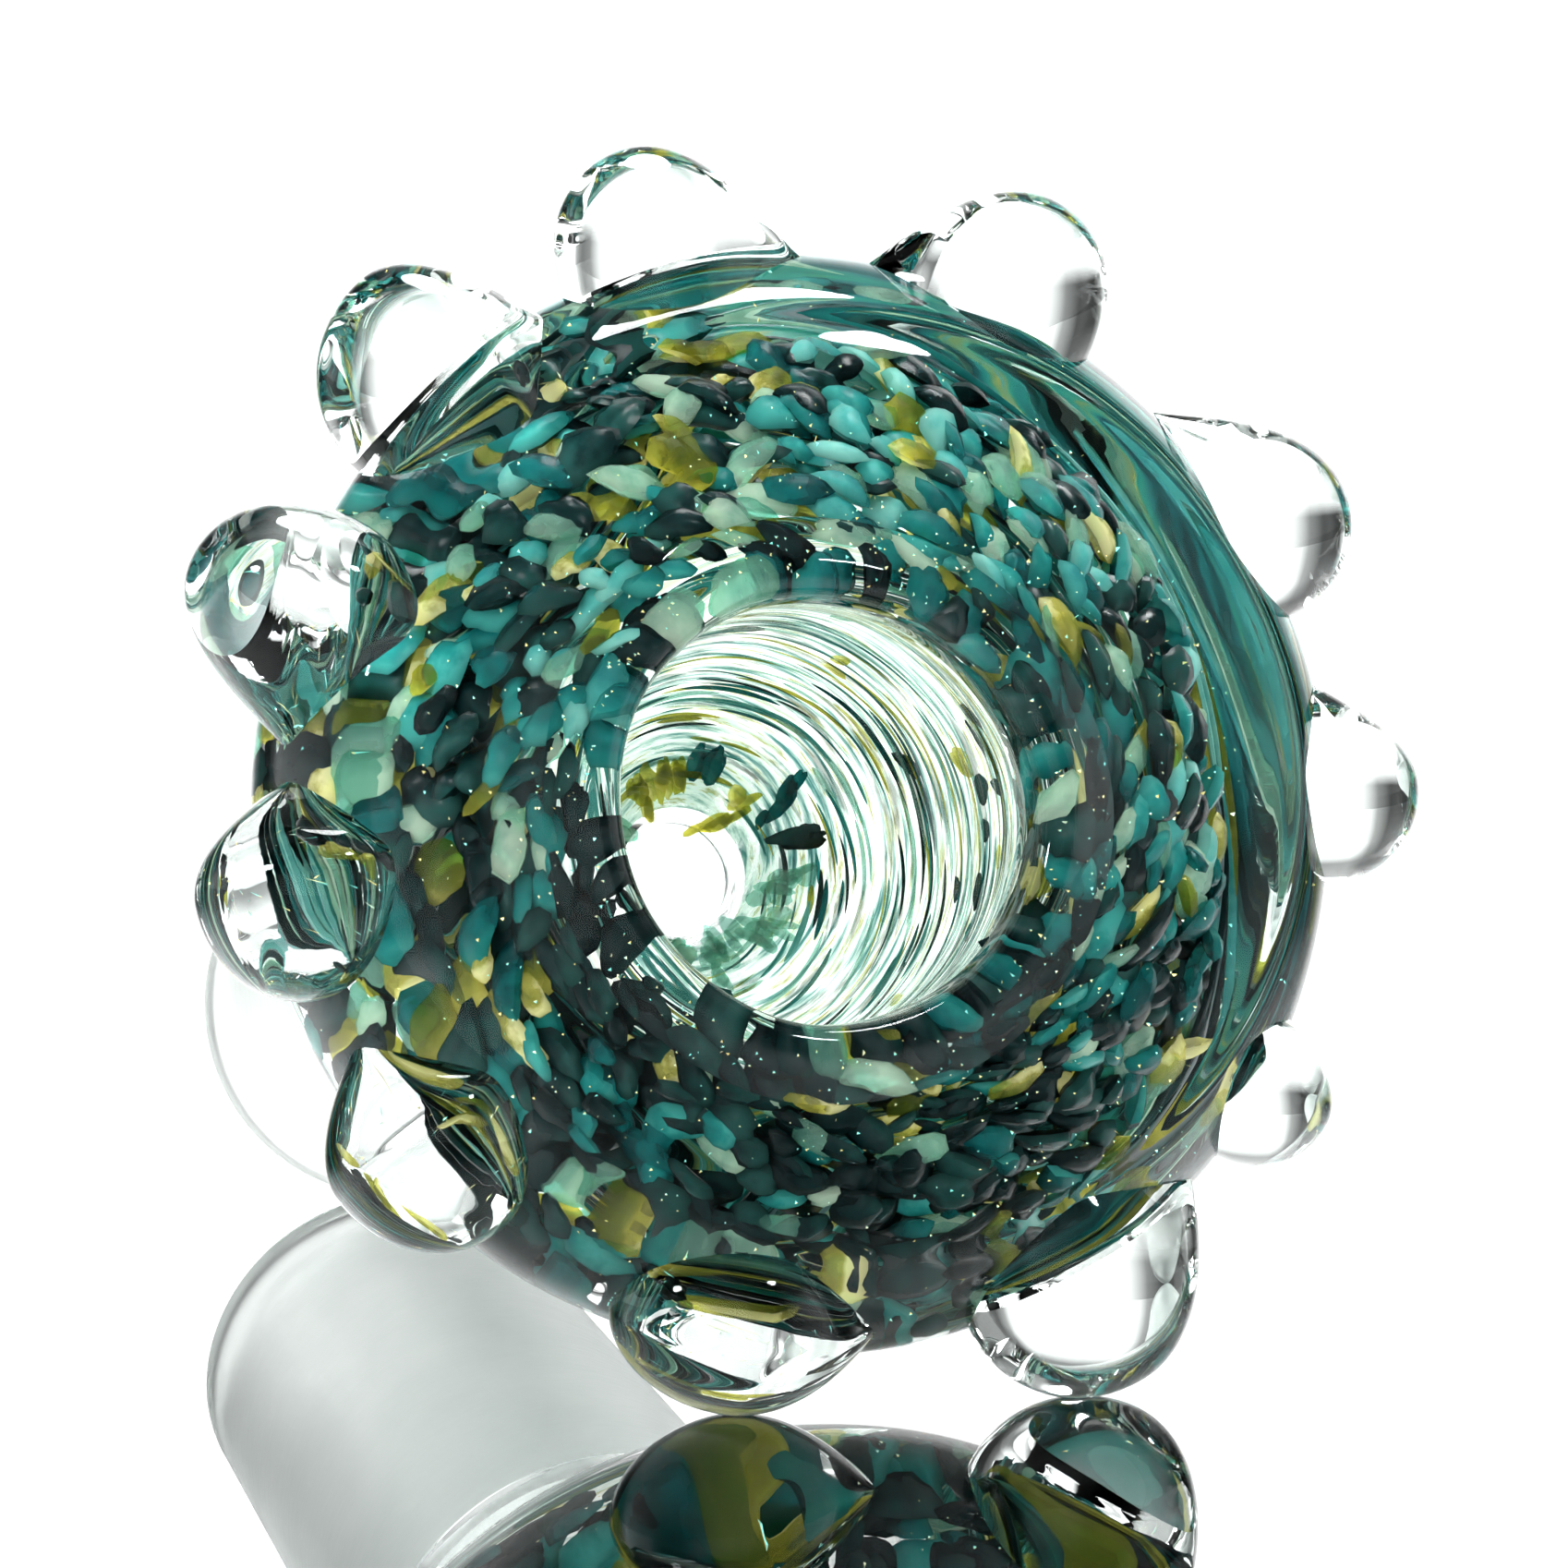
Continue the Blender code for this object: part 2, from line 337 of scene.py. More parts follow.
def joined(groups):
    """One (points, faces, kinds) from several (points, faces, kind), with equal points merged."""
    points, faces = stacked([group[:2] for group in groups])
    kinds = [kind for _, group_faces, kind in groups for _ in group_faces]
    _, first, same = np.unique(
        np.round(points, 3), axis=0, return_index=True, return_inverse=True
    )
    same = same.ravel()
    merged = []
    merged_kinds = []
    for face, kind in zip(faces, kinds):
        corners = list(dict.fromkeys(int(same[index]) for index in face))
        if len(corners) > 2:
            merged.append(corners)
            merged_kinds.append(kind)
    return points[first], merged, merged_kinds


def make_casing_and_knobs(casing_finish, knob_finish):
    """The body and the knobs, cut where they meet so that they fuse without a seam."""
    skin = envelope()
    on_skin, on_core, on_knob = range(3)
    tags = [bpy.data.materials.new(f"tag_{index}") for index in range(3)]
    core = [(4.0, BODY_BACK_Z), (4.0, LIP_ROOT[1])]
    points, faces, strips = revolve(list(skin) + [np.array(corner) for corner in core])
    kinds = np.where(strips < len(skin) - 1, on_skin, on_core)
    hull = new_object("hull", hand_worked(points), faces, kinds, tags, place=False)
    points, faces = stacked([drop(*shape) for shape in KNOBS])
    blobs = new_object("blobs", points, faces, [on_knob] * len(faces), tags, place=False)
    bare = picked(*combined(hull, blobs, "DIFFERENCE"), on_skin)
    covered = picked(*combined(hull, blobs, "INTERSECT"), on_skin)
    inner = [np.array(FRIT_END), *frit_curve()[::-1], np.array((FRIT_TOP[0], LIP_SEAT_Z))]
    inner += [np.array((LIP_ROOT[0], LIP_SEAT_Z))]
    inside, inside_faces, inside_strips = revolve(list(skin) + inner[1:])
    keep = [face for face, strip in zip(inside_faces, inside_strips) if strip >= len(skin) - 1]
    lining = only_used(hand_worked(inside), keep)
    body = joined([(*bare, SKIN), (*covered, SEAM), (*lining, SEAM)])
    made = [new_object("casing", *body, casing_finish)]
    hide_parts("clear_casing")
    drops = loose(*combined(blobs, hull, "DIFFERENCE"))
    for number, (points, faces, kinds) in enumerate(drops, 1):
        kinds = [SKIN if kind == on_knob else SEAM for kind in kinds]
        knob = new_object(f"knob_drop_{number:02d}", points, faces, kinds, knob_finish)
        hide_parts(f"knob_{number:02d}")
        made.append(knob)
    for helper in (hull, blobs):
        bpy.data.objects.remove(helper, do_unlink=True)
    return made


def loose(points, faces, kinds):
    """The separate bodies of a mesh, in the order of the knobs that they come from."""
    parent = list(range(len(points)))

    def root(index):
        while parent[index] != index:
            parent[index] = parent[parent[index]]
            index = parent[index]
        return index

    for face in faces:
        first = root(face[0])
        for index in face[1:]:
            parent[root(index)] = first
    groups = {}
    for face, kind in zip(faces, kinds):
        groups.setdefault(root(face[0]), []).append((face, kind))
    bodies = []
    for members in groups.values():
        body = only_used(points, [face for face, _ in members])
        bodies.append((*body, [kind for _, kind in members]))
    places = [math.radians(shape[0]) for shape in KNOBS]

    def knob_of(body):
        middle = body[0].mean(axis=0) - np.array([*RIM_SHIFT, 0])
        found = math.atan2(middle[0], -middle[1])
        gaps = [abs(math.remainder(found - place, math.tau)) for place in places]
        return gaps.index(min(gaps))

    largest = {}
    for body in bodies:
        index = knob_of(body)
        if index not in largest or len(body[1]) > len(largest[index][1]):
            largest[index] = body
    return [largest[index] for index in sorted(largest)]


# ---- clear pieces


def make_core(finish):
    """The clear inner glass with the cavity, the drain hole and the passage behind it."""
    cavity = bowl_curve()
    frit = frit_curve()
    parts = [
        (frit[:-1], SEAM),
        (straight(FRIT_END, PASSAGE_FRONT, 3), SEAM),
        (cavity[::-1][:-1], SKIN),
        (straight(MOUTH_EDGE, (FRIT_TOP[0], LIP_SEAT_Z), 3), SEAM),
        ([np.array((FRIT_TOP[0], LIP_SEAT_Z))], SEAM),
    ]
    core = turned("core", parts, finish)
    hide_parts("inner_core")
    return core


def make_lip(finish):
    """The clear ring round the mouth."""
    arch = smooth([LIP_ROOT, (8.6, 3.25), (7.6, 3.7), (6.85, 3.35), MOUTH_EDGE], 10)
    parts = [
        (arch[:-1], SKIN),
        (straight(MOUTH_EDGE, (LIP_ROOT[0], LIP_SEAT_Z), 4), SEAM),
        ([np.array((LIP_ROOT[0], LIP_SEAT_Z))], SEAM),
    ]
    lip = turned("lip", parts, finish)
    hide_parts("lip_ring")
    return lip


def make_neck(finish):
    """The short waist between the body and the joint, with the passage through it."""
    middle = (BODY_BACK_Z + NECK_BACK_Z) / 2
    waist = smooth([NECK_FRONT, (6.6, middle), NECK_BACK], 8)
    parts = [
        (waist[:-1], SKIN),
        (straight(NECK_BACK, PASSAGE_BACK, 3), SEAM),
        (straight(PASSAGE_BACK, PASSAGE_FRONT, 3), SKIN),
        (straight(PASSAGE_FRONT, NECK_FRONT, 3), SEAM),
    ]
    neck = turned("neck_glass_piece", parts, finish)
    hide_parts("neck")
    return neck


def make_joint(finish):
    """The ground taper with its bore. finish is [clear skin, seam, frosted skin]."""
    frosted = 2
    shoulder = smooth([NECK_BACK, (7.1, -20.15), TAPER_TOP], 4)
    taper = straight(TAPER_TOP, TAPER_END, 40)
    rounded = [(5.95, -43.15), (5.35, JOINT_TIP_Z), (4.75, -43.1)]
    tip = smooth([TAPER_END, *rounded, JOINT_BORE_END], 5)
    bore = straight(JOINT_BORE_END, JOINT_BORE_TOP, 16)
    throat = smooth([JOINT_BORE_TOP, (4.5, -20.9), PASSAGE_BACK], 6)
    parts = [
        (shoulder[:-1], SKIN),
        (taper, frosted),
        (tip[:-1], SKIN),
        (bore, SKIN),
        (throat[:-1], SKIN),
        (straight(PASSAGE_BACK, NECK_BACK, 3), SEAM),
    ]
    joint = turned("joint", parts, finish)
    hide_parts("ground_joint")
    return joint


# ---- frit chips

CHIP_SIDES = 14
CHIP_RINGS = 4
RIBBON_RINGS = 16
RIBBON_SIDES = 6
SHEET_RINGS = 40

# The side of the bowl, as an angle round it, where chips are sparse near the mouth.
LIT_SIDE = 0.9
# The chips of the front end at this distance along their curve.
FRONT_END = 10.0
# Beyond this distance along the chips' curve most flakes of glitter are long slivers.
SLIVERS_FROM = 12.5
PETAL_PARTS = 5

# The streaked sheet's length, and the side of the bowl where it runs nearest the skin.
SWIRL_LENGTH = 15.4
SWIRL_SIDE = 0.44

# Where the pale sheet of the cavity starts and ends along the cavity's wall.
WALL_START = 1.6
WALL_END = 15.5


def chip_shape():
    """A round lens of half size 1, as (points, faces)."""
    points = [(0.0, 0.0, 1.0)]
    for ring in range(1, CHIP_RINGS):
        bend = math.pi * ring / CHIP_RINGS
        out = math.sin(bend)
        for side in range(CHIP_SIDES):
            turn = math.tau * side / CHIP_SIDES
            points.append((out * math.cos(turn), out * math.sin(turn), math.cos(bend)))
    points.append((0.0, 0.0, -1.0))
    faces = []
    for side in range(CHIP_SIDES):
        after = (side + 1) % CHIP_SIDES
        faces.append([0, 1 + side, 1 + after])
        for ring in range(CHIP_RINGS - 2):
            here, there = 1 + ring * CHIP_SIDES, 1 + (ring + 1) * CHIP_SIDES
            faces.append([here + side, there + side, there + after, here + after])
        here = 1 + (CHIP_RINGS - 2) * CHIP_SIDES
        faces.append([len(points) - 1, here + after, here + side])
    return np.array(points), faces


CHIP_POINTS, CHIP_FACES = chip_shape()


def chip_at(centre, along, normal, sizes):
    """The points of one chip: sizes are its half length, half width and half thickness."""
    along = unit(along - normal * (along @ normal))
    across = np.cross(normal, along)
    x, y, z = CHIP_POINTS.T
    turn = np.arctan2(y, x)
    lobes = DRAWS.uniform(0, math.tau, 3)
    edge = 1 + 0.16 * np.sin(2 * turn + lobes[0]) + 0.10 * np.sin(3 * turn + lobes[1])
    edge += 0.06 * np.sin(5 * turn + lobes[2])
    x, y = x * edge, y * edge
    bow = 0.12 * (x**2 - 0.4)
    local = np.outer(x * sizes[0], along) + np.outer(y * sizes[1], across)
    return centre + local + np.outer(z * sizes[2] - bow * sizes[0], normal)


def curve_sampler(curve):
    """Place, meridian direction and outward normal at a distance along a curve of (r, z)."""
    curve = np.array(curve)
    steps = np.linalg.norm(np.diff(curve, axis=0), axis=1)
    lengths = np.concatenate([[0], np.cumsum(steps)])

    def point_at(distance):
        return np.array([np.interp(distance, lengths, column) for column in curve.T])

    def at(distance):
        return point_at(distance), unit(point_at(distance + 0.3) - point_at(distance - 0.3))

    return at, lengths[-1]


def ring_frame(point, direction, around):
    """Local place, round-the-ring, meridian and normal vectors for a point of a turned curve."""
    outward = np.array([math.cos(around), math.sin(around), 0])
    tangent = np.array([-math.sin(around), math.cos(around), 0])
    up = np.array([0, 0, 1.0])
    place = outward * point[0] + up * point[1]
    meridian = outward * direction[0] + up * direction[1]
    normal = outward * -direction[1] + up * direction[0]
    return place, tangent, meridian, normal


def patch(place, scale, seed):
    """A slow wave from -1 to 1 over the body, which gathers colours into patches."""
    p = place * scale + seed
    wave = math.sin(p[0] + 1.3 * math.sin(p[1] * 0.9 + seed))
    wave += math.sin(p[1] + 1.1 * math.sin(p[2] + p[0] * 0.6))
    return 0.5 * wave


def pick_colour(place, clear_share):
    """Which colour a chip takes, or None for a gap."""
    draw = DRAWS.random()
    radius = math.hypot(place[0], place[1])
    low = -place[1] / radius
    right = place[0] / radius
    gold = 0.065 + 0.14 * max(patch(place, 0.42, 1.7), 0)
    # Painted shade: more dark and fewer pale chips on the lower side, and fewer dark ones to the
    # right, where more light falls.
    dark = 0.35 + 0.15 * patch(place, 0.35, 4.1) + 0.22 * low - 0.06 * right
    pale = 0.10 + 0.06 * patch(place, 0.5, 8.3) - 0.04 * low
    for name, share in ((None, clear_share), ("gold", gold), ("dark", dark), ("pale", pale)):
        if draw < share:
            return name
        draw -= share
    return "teal" if draw < 0.27 else "turquoise"


def scatter(curve, start, end, row_step, side_step, clear_share, sizes, swirl, depth):
    """Chips in uneven rows round a turned curve, as (colour, points) pairs. The steps are between
    rows and between chips, sizes is a chip's half length, width and thickness, swirl is how far
    the chips lean in degrees, and depth is how far they may lie off the curve."""
    at, _ = curve_sampler(curve)
    chips = []
    distance = start
    row = 0
    while distance < end:
        point, _ = at(distance)
        count = max(int(math.tau * point[0] / side_step), 6)
        for index in range(count):
            around = math.tau * (index + 0.5 * (row % 2) + DRAWS.uniform(-0.35, 0.35)) / count
            spot, way = at(distance + DRAWS.uniform(-0.45, 0.45) * row_step)
            place, tangent, meridian, normal = ring_frame(spot, way, around)
            colour = pick_colour(place, clear_share(distance, around))
            size = DRAWS.uniform(0.75, 1.3)
            lean = math.radians(swirl + DRAWS.normal(0, 16))
            along = tangent * math.cos(lean) + meridian * math.sin(lean)
            tip = normal + 0.22 * DRAWS.normal(0, 1) * tangent + 0.22 * DRAWS.normal(0, 1) * meridian
            tip = unit(tip)
            centre = place + normal * DRAWS.uniform(*depth)
            shape = (
                sizes[0] * size * DRAWS.uniform(0.8, 1.3),
                sizes[1] * size * DRAWS.uniform(0.75, 1.2),
                sizes[2] * DRAWS.uniform(0.8, 1.3),
            )
            if colour:
                chips.append((colour, chip_at(centre, along, tip, shape)))
        distance += row_step
        row += 1
    return chips


def ribbon_faces():
    """The faces of one closed ribbon: its sides, then its two ends."""
    faces = []
    for ring in range(RIBBON_RINGS - 1):
        here, there = ring * RIBBON_SIDES, (ring + 1) * RIBBON_SIDES
        for side in range(RIBBON_SIDES):
            after = (side + 1) % RIBBON_SIDES
            faces.append([here + side, here + after, there + after, there + side])
    last = (RIBBON_RINGS - 1) * RIBBON_SIDES
    faces.append(list(range(RIBBON_SIDES))[::-1])
    faces.append([last + side for side in range(RIBBON_SIDES)])
    return faces


RIBBON_FACES = ribbon_faces()


def ribbon(at, distance, around, length, width, thick, slope, lift):
    """The points of one drawn-out streak of colour that lies round the turned curve."""
    points = []
    reach = at(distance, around)[0][0]
    for share in np.linspace(-1, 1, RIBBON_RINGS):
        taper = max(1 - share**2, 0.02) ** 0.5
        turn = around + share * length / 2 / reach
        spot, way = at(distance + slope * share * length / 2, turn)
        place, tangent, meridian, normal = ring_frame(spot, way, turn)
        for side in range(RIBBON_SIDES):
            bend = math.tau * side / RIBBON_SIDES
            offset = meridian * math.cos(bend) * width * taper
            offset = offset + normal * (math.sin(bend) * thick * taper + lift)
            points.append(place + offset)
    return np.array(points)


def swirl_samplers():
    """The inner and outer curves of the streaked back of the coloured layer."""
    outer = [(13.6, -4.4), (14.5, -5.8), (13.7, -8.3), (11.6, -11.4), (8.9, -14.1), (6.6, -16.2)]
    inner = [(13.1, -5.6), (12.4, -7.3), (11.0, -9.4), (9.0, -12.0), (7.1, -14.6), (5.7, -16.6)]
    return [curve_sampler(smooth(shape, 10)) for shape in (inner, outer)]


def swirl_at(distance, around):
    """Place and direction on the streaked sheet, which runs nearer the skin on one side."""
    share = min(max((math.cos(around - SWIRL_SIDE) + 0.1) / 0.5, 0), 1)
    share = share**2 * (3 - 2 * share)
    (inner, inner_length), (outer, outer_length) = SWIRL_SAMPLERS
    near, near_way = inner(distance / SWIRL_LENGTH * inner_length)
    far, far_way = outer(distance / SWIRL_LENGTH * outer_length)
    way = near_way * (1 - share) + far_way * share
    return near * (1 - share) + far * share, unit(way)


SWIRL_SAMPLERS = swirl_samplers()


def scatter_ribbons(count):
    """Fine drawn-out threads over the streaked sheet, as (colour, points) pairs."""
    made = []
    for _ in range(count):
        distance = DRAWS.uniform(0.2, SWIRL_LENGTH - 0.2)
        around = DRAWS.uniform(0, math.tau)
        place = ring_frame(*swirl_at(distance, around), around)[0]
        colour = pick_colour(place, 0.05)
        if not colour:
            continue
        length = DRAWS.uniform(6.0, 16.0)
        width = DRAWS.uniform(0.02, 0.11)
        lift = DRAWS.uniform(-0.25, 0.2)
        slope = DRAWS.normal(0.04, 0.02)
        made.append((colour, ribbon(swirl_at, distance, around, length, width, 0.08, slope, lift)))
    return made


def wall_colour(around):
    """Streaks of the cavity's wall are mostly pale, with some gold ones to the upper right."""
    draw = DRAWS.random()
    gold = 0.10 + 0.12 * max(math.cos(around - 0.7), 0)
    for name, share in (("gold", gold), ("dark", 0.10), ("teal", 0.14), ("turquoise", 0.18)):
        if draw < share:
            return name
        draw -= share
    return "mist"


def scatter_wall_streaks(count):
    """Fine drawn-out threads just behind the wall of the cavity."""
    at, _ = curve_sampler(bowl_curve())
    made = []
    for _ in range(count):
        distance = DRAWS.uniform(1.2, 14.8)
        around = DRAWS.uniform(0, math.tau)
        colour = wall_colour(around)
        length = DRAWS.uniform(2.5, 9.0) * (1 - 0.05 * distance)
        width = DRAWS.uniform(0.03, 0.13)
        lift = DRAWS.uniform(0.18, 0.7)
        slope = DRAWS.normal(0.05, 0.035)
        shape = ribbon(lambda d, turn: at(d), distance, around, length, width, 0.05, slope, lift)
        made.append((colour, shape))
    return made


def petal_colour(around, draw):
    """Round the drain hole: gold above, dark to the right, misty below and to the left."""
    turn = math.degrees(around) % 360
    if 30 < turn < 140:
        return "gold" if draw < 0.75 else "teal"
    if turn < 30 or turn > 350:
        return "dark" if draw < 0.35 else "mist"
    return "mist" if draw < 0.7 else "pale"


def scatter_petals(count):
    """Soft drawn-out patches on the floor of the cavity, which point at the drain hole."""
    at, _ = curve_sampler(bowl_curve())
    made = []
    for index in range(count):
        around = math.tau * (index + DRAWS.uniform(-0.3, 0.3)) / count
        spot, way = at(DRAWS.uniform(13.4, 15.1))
        place, tangent, meridian, normal = ring_frame(spot, way, around)
        along = meridian + 0.25 * DRAWS.normal(0, 1) * tangent
        colour = petal_colour(around, DRAWS.random())
        for _ in range(PETAL_PARTS):
            shape = (DRAWS.uniform(0.35, 0.8), DRAWS.uniform(0.16, 0.34), 0.05)
            shift = tangent * DRAWS.normal(0, 0.25) + meridian * DRAWS.normal(0, 0.35)
            centre = place + shift + normal * DRAWS.uniform(0.10, 0.28)
            made.append((colour, chip_at(centre, along, normal, shape)))
    return made


def chip_curve():
    """The coloured layer's own curve, which starts close to the mouth."""
    shape = [(7.3, 2.1), (8.8, 1.5), (11.0, 0.1), (12.8, -2.1), (13.5, -5.6), (9.3, -12.4)]
    return smooth([*shape, FRIT_END], 10)


def make_swirl(finish):
    """A thin sheet of drawn-out colour behind the chips, streaked round the bowl by its shader."""
    steps = np.linspace(0, SWIRL_LENGTH, SHEET_RINGS)
    blank = np.column_stack([np.ones(2 * len(steps)), np.zeros(2 * len(steps))])
    faces = [face[::-1] for face in revolve(blank)[1]]
    points = []
    for turn in range(SEGMENTS):
        around = turn * math.tau / SEGMENTS
        places = [ring_frame(*swirl_at(distance, around), around) for distance in steps]
        points += [place for place, _, _, _ in places]
        points += [place - 0.06 * normal for place, _, _, normal in places[::-1]]
    swirl = new_object("frit_swirl", hand_worked(points), faces, [SKIN] * len(faces), [finish])
    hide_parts("frit_layer")
    return swirl


def make_wall_sheet(finish):
    """The pale drawn-out colour just behind the wall of the cavity, down to the drain hole."""
    at, _ = curve_sampler(bowl_curve())
    outer, inner = [], []
    for distance in np.linspace(WALL_START, WALL_END, SHEET_RINGS):
        point, direction = at(distance)
        normal = np.array([-direction[1], direction[0]])
        lift = np.interp(distance, [WALL_START, 12.0, WALL_END], [0.95, 0.8, 0.30])
        outer.append(point + normal * (lift + 0.05))
        inner.append(point + normal * lift)
    sheet = turned("frit_wall", [(outer, SKIN), (inner[::-1], SKIN)], [finish])
    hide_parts("frit_layer")
    return sheet


def scatter_glitter(count):
    """Tiny flat flakes over the coloured layer, as (points, faces) of one mesh."""
    at, whole = curve_sampler(chip_curve())
    points, faces = [], []
    for _ in range(count):
        distance = whole * DRAWS.random() ** 1.6
        around = DRAWS.uniform(0, math.tau)
        place, tangent, meridian, normal = ring_frame(*at(distance), around)
        tip = unit(normal + 0.6 * DRAWS.normal(0, 1, 3))
        first = unit(np.cross(tip, tangent + 0.3))
        second = np.cross(tip, first)
        size = DRAWS.uniform(0.03, 0.075)
        if distance > SLIVERS_FROM and DRAWS.random() < 0.6:
            first, second, size = meridian * DRAWS.uniform(8, 20), tangent * 0.5, 0.03
        place = place + normal * DRAWS.uniform(0.4, 0.9)
        start = len(points)
        for turn in range(3):
            bend = math.tau * turn / 3
            points.append(place + size * (first * math.cos(bend) + second * math.sin(bend)))
        points.append(place + tip * 0.015)
        faces += [[start, start + 1, start + 3], [start + 1, start + 2, start + 3],
                  [start + 2, start, start + 3], [start + 2, start + 1, start]]
    return np.array(points), faces


def front_gaps(distance, around):
    """The share of gaps: more near the mouth, and more still on its lit side."""
    lit = max(math.cos(around - LIT_SIDE), 0) * max(1 - distance / 7, 0)
    return 0.20 - 0.012 * distance + 0.22 * lit


def make_chips(finishes):
    """All the coloured glass: two sheets, one heap of shapes for each colour, and the glitter."""
    front = scatter(
        chip_curve(), 0.0, FRONT_END, 0.62, 1.08, front_gaps, (0.85, 0.48, 0.22), 20, (-0.35, 0.35)
    )
    under = scatter(
        chip_curve(), 1.0, FRONT_END, 1.0, 1.6,
        lambda _, around: 0.72 + 0.2 * math.cos(around - LIT_SIDE),
        (1.0, 0.7, 0.22), 10, (-1.3, -0.7),
    )
    back = scatter(
        chip_curve(), 15.0, 19.5, 0.9, 1.3, lambda *_: 0.80, (0.8, 0.40, 0.16), 8, (0.0, 0.3)
    )
    bore = scatter(
        bowl_curve(), 0.6, 9.0, 1.0, 1.5,
        lambda distance, _: 0.62 + 0.03 * distance,
        (0.55, 0.34, 0.12), 25, (0.3, 1.0),
    )
    chips = front + under + back + bore + scatter_petals(20)
    ribbons = scatter_ribbons(620) + scatter_wall_streaks(460)
    # Each point's nearness to its chip's rim, and a slope from one end of the chip to the other,
    # which the finish paints lighter at one end as painted light shining through the chip.
    chip_rims = np.hypot(CHIP_POINTS[:, 0], CHIP_POINTS[:, 1])
    chip_lit_ends = CHIP_POINTS[:, 0] + 0.6 * CHIP_POINTS[:, 1]
    ribbon_rims = np.full(RIBBON_RINGS * RIBBON_SIDES, 0.4)
    ribbon_ends = np.zeros(RIBBON_RINGS * RIBBON_SIDES)
    made = [make_swirl(swirl_finish()), make_wall_sheet(wall_finish())]
    for name, finish in finishes.items():
        shapes = [
            (points, CHIP_FACES, chip_rims, chip_lit_ends) for colour, points in chips if colour == name
        ]
        shapes += [
            (points, RIBBON_FACES, ribbon_rims, ribbon_ends)
            for colour, points in ribbons if colour == name
        ]
        made.append(heap(f"frit_{name}", shapes, finish))
    points, faces = scatter_glitter(1600)
    rims = np.zeros(len(points))
    made.append(heap("frit_glitter", [(points, faces, rims, rims)], glitter_finish()))
    return made


def heap(name, shapes, finish):
    """One object of many small closed shapes. Each point keeps how near it is to its shape's rim
    and to its end, which the finishes use: for clearer edges, and for painted light that makes the
    edges and one end of each chip lighter."""
    points, faces = stacked([shape[:2] for shape in shapes])
    made = new_object(name, hand_worked(points), faces, [SKIN] * len(faces), [finish])
    for attribute, column in (("rim", 2), ("end", 3)):
        values = np.concatenate([shape[column] for shape in shapes]).astype(np.float32)
        made.data.attributes.new(attribute, "FLOAT", "POINT").data.foreach_set("value", values)
    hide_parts("frit_layer")
    return made


# ---- materials

GLASS_IOR = 1.47

# The way that the bowl's side slants towards the joint, in radius and height, and how far in
# millimetres the streaks drift along it on their way round.
SLANT = (-0.525, -0.85)
DRIFT = 0.5

# How open the sheet of streaks is along its side, from its front edge to its back one.
SWIRL_FADE = [(0.0, 0.05), (0.12, 0.02), (0.40, 0.03), (0.62, 0.5)]


def node_material(name):
    """A material with an empty node tree, and that tree."""
    made = bpy.data.materials.new(name)
    made.use_nodes = True
    made.node_tree.nodes.clear()
    return made, made.node_tree


def feed(tree, made, values):
    """Puts on each named socket of a node its value: a number, a colour or another socket."""
    for name, value in values.items():
        if isinstance(value, bpy.types.NodeSocket):
            tree.links.new(value, made.inputs[name])
        else:
            made.inputs[name].default_value = value
    return made


def node(tree, kind, values):
    return feed(tree, tree.nodes.new("ShaderNode" + kind), values)


def show(tree, shader, output="OutputMaterial"):
    """Wires a shader node to the tree's output."""
    node(tree, output, {"Surface": shader.outputs[0]})


def mixed(tree, share, first, second):
    """A mix of two shader nodes, where share says how much of the second there is."""
    return node(tree, "MixShader", {"Fac": share, 1: first.outputs[0], 2: second.outputs[0]})


def show_part_clear(tree, solid, share, tint):
    """Wires to the output a solid shader that lets this share of light through, tinted."""
    clear = node(tree, "BsdfTransparent", {"Color": (*tint, 1.0)})
    show(tree, mixed(tree, share, solid, clear))


def multiplied(tree, first, second):
    """The product of two colours."""
    made = tree.nodes.new("ShaderNodeMix")
    made.data_type = "RGBA"
    made.blend_type = "MULTIPLY"
    return feed(tree, made, {"Factor": 1.0, "A": first, "B": second}).outputs["Result"]


def noise_at(tree, scale, detail=3.0):
    """A noise texture over the object's own coordinates, in metres."""
    coordinates = tree.nodes.new("ShaderNodeTexCoord")
    values = {"Vector": coordinates.outputs["Object"], "Scale": scale, "Detail": detail}
    return node(tree, "TexNoise", values).outputs["Fac"]


def ramp(tree, value, stops):
    """A colour ramp over (position, colour) stops."""
    made = tree.nodes.new("ShaderNodeValToRGB")
    elements = made.color_ramp.elements
    while len(elements) < len(stops):
        elements.new(0.5)
    for element, (position, colour) in zip(elements, stops):
        element.position = position
        element.color = (*colour, 1.0)
    return feed(tree, made, {"Fac": value}).outputs["Color"]


def grey_ramp(tree, value, stops):
    """A ramp over (position, brightness) stops."""
    return ramp(tree, value, [(position, (level,) * 3) for position, level in stops])


def maths(tree, operation, *values):
    """A math node, with each value a number or a socket."""
    made = tree.nodes.new("ShaderNodeMath")
    made.operation = operation
    return feed(tree, made, dict(enumerate(values))).outputs[0]


def attribute(tree, name):
    """A value that is stored on the mesh's points."""
    made = tree.nodes.new("ShaderNodeAttribute")
    made.attribute_name = name
    return made.outputs["Fac"]


def island(tree):
    """A random value for each separate shape of a mesh."""
    return tree.nodes.new("ShaderNodeNewGeometry").outputs["Random Per Island"]


def clear_glass(name, tint):
    """Clear glass: bends light, with a weaker front gloss than full studio glare would give."""
    made, tree = node_material(name)
    show(tree, node(tree, "BsdfPrincipled", {
        "Base Color": (*tint, 1.0),
        "Roughness": 0.0,
        "IOR": GLASS_IOR,
        "Transmission Weight": 1.0,
        "Specular Tint": (0.22, 0.24, 0.24, 1.0),
    }))
    return made


def seam_material():
    """Where two fused pieces meet, nothing is seen."""
    made, tree = node_material("seam")
    show(tree, tree.nodes.new("ShaderNodeBsdfTransparent"))
    return made


